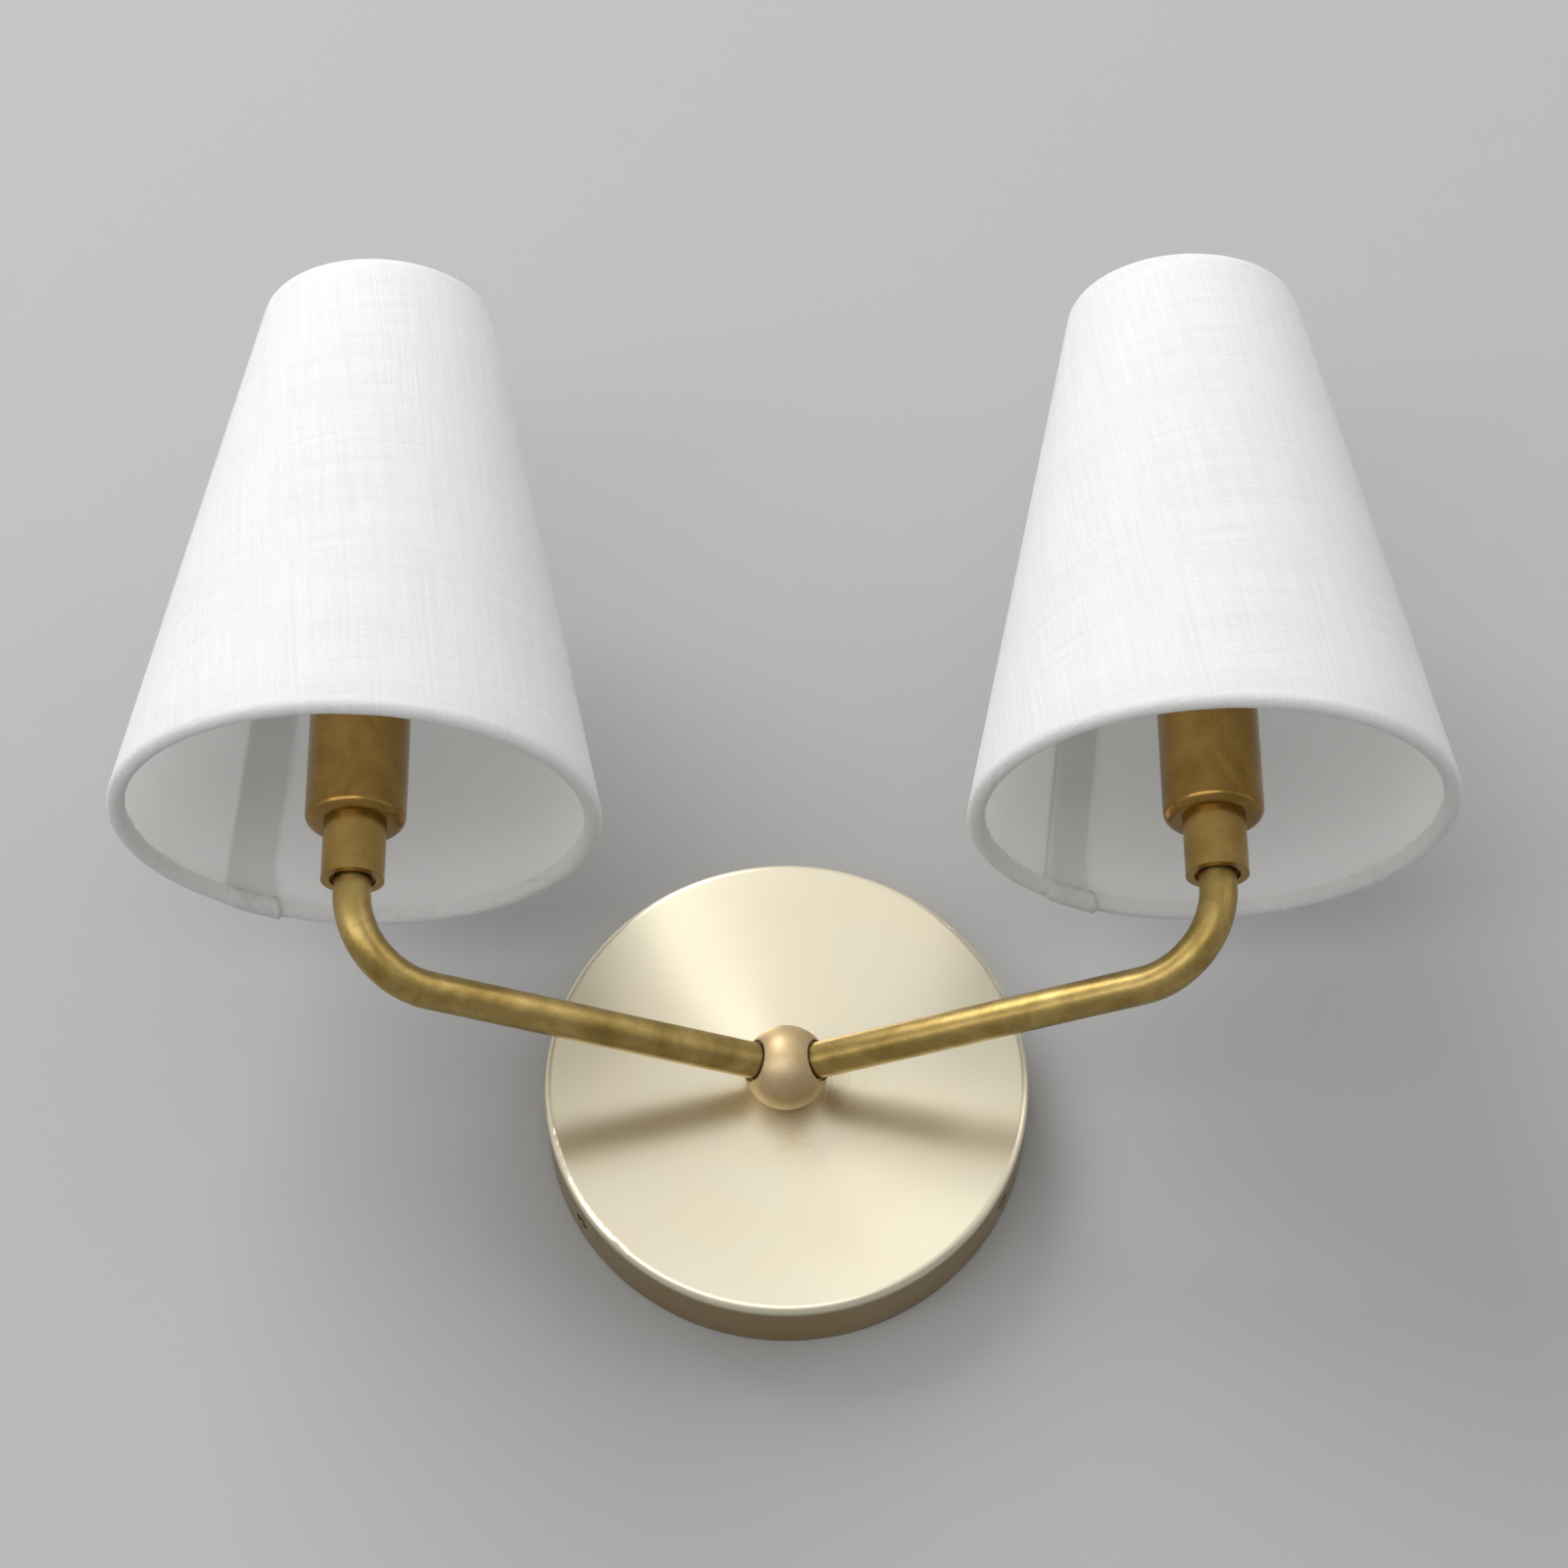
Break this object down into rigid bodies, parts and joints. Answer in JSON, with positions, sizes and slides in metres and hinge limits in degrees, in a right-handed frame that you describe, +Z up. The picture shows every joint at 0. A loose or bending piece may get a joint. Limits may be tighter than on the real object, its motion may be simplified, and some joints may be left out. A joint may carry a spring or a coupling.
{
  "type": "double arm wall sconce",
  "caption": "Wall light with a round brass canopy, a ball hub, two bent tube arms, candelabra sockets and cone shades of white linen.",
  "frame": {"origin": "middle of the canopy on the wall, which is the middle of the mounting plate's slots", "axes": "+X to the right seen from the room, +Y into the wall, +Z up; the arms reach out along -Y"},
  "size_m": [0.3386, 0.1553, 0.2545],
  "materials": {
    "canopy_brass": "satin, pale",
    "aged_brass": "brushed, unlacquered and aged",
    "hub_brass": "satin",
    "zinc_steel": "zinc plated",
    "black_steel": "black oxide",
    "green_steel": "green, satin",
    "phenolic": "moulded, dark",
    "bright_brass": "bright",
    "cap_metal": "nickel plated",
    "black_glass": "glossy",
    "clear_glass": "clear",
    "filament": "phosphor coated",
    "black_lead": "insulated wire",
    "white_lead": "insulated wire",
    "linen": "plain weave",
    "liner": "translucent white sheet",
    "frame_wire": "white powder coat",
    "connector": "moulded"
  },
  "bodies": {
    "fixture": {"left_arm": "aged_brass", "left_neck": "aged_brass", "left_socket_cup": "aged_brass", "left_socket_nipple": "zinc_steel", "left_hickey": "zinc_steel", "left_socket_insulator": "phenolic", "left_socket_shell": "bright_brass", "left_socket_contact": "bright_brass", "left_lead_hot": "black_lead", "left_lead_neutral": "white_lead", "right_arm": "aged_brass", "right_neck": "aged_brass", "right_socket_cup": "aged_brass", "right_socket_nipple": "zinc_steel", "right_hickey": "zinc_steel", "right_socket_insulator": "phenolic", "right_socket_shell": "bright_brass", "right_socket_contact": "bright_brass", "right_lead_hot": "black_lead", "right_lead_neutral": "white_lead", "canopy": "canopy_brass", "mounting_plate": "zinc_steel", "canopy_screws": "black_steel", "ground_screw": "green_steel", "canopy_nipple": "zinc_steel", "lock_washer": "zinc_steel", "nipple_nut": "zinc_steel", "hub_ball": "hub_brass", "connector_hot": "connector", "connector_neutral": "connector"},
    "left_bulb": {"left_bulb_cap": "cap_metal", "left_bulb_insulator": "black_glass", "left_bulb_tip": "cap_metal", "left_bulb_glass": "clear_glass", "left_bulb_stem": "clear_glass", "left_bulb_filaments": "filament"},
    "left_shade": {"left_shade_linen": "linen", "left_shade_liner": "liner", "left_shade_bottom_ring": "frame_wire", "left_shade_clip": "frame_wire"},
    "right_bulb": {"right_bulb_cap": "cap_metal", "right_bulb_insulator": "black_glass", "right_bulb_tip": "cap_metal", "right_bulb_glass": "clear_glass", "right_bulb_stem": "clear_glass", "right_bulb_filaments": "filament"},
    "right_shade": {"right_shade_linen": "linen", "right_shade_liner": "liner", "right_shade_bottom_ring": "frame_wire", "right_shade_clip": "frame_wire"}
  },
  "joints": [
    {"name": "left_bulb_screw", "type": "hinge", "parent": "fixture", "child": "left_bulb", "pos_m": [-0.10739, -0.0934, 0.0705], "axis": [0, 0, 1], "range_deg": [0, 720]},
    {"name": "left_shade_turn", "type": "hinge", "parent": "left_bulb", "child": "left_shade", "pos_m": [-0.10739, -0.0934, 0.1145], "axis": [0, 0, 1], "continuous": true},
    {"name": "right_bulb_screw", "type": "hinge", "parent": "fixture", "child": "right_bulb", "pos_m": [0.10739, -0.0934, 0.0705], "axis": [0, 0, 1], "range_deg": [0, 720]},
    {"name": "right_shade_turn", "type": "hinge", "parent": "right_bulb", "child": "right_shade", "pos_m": [0.10739, -0.0934, 0.1145], "axis": [0, 0, 1], "continuous": true}
  ]
}
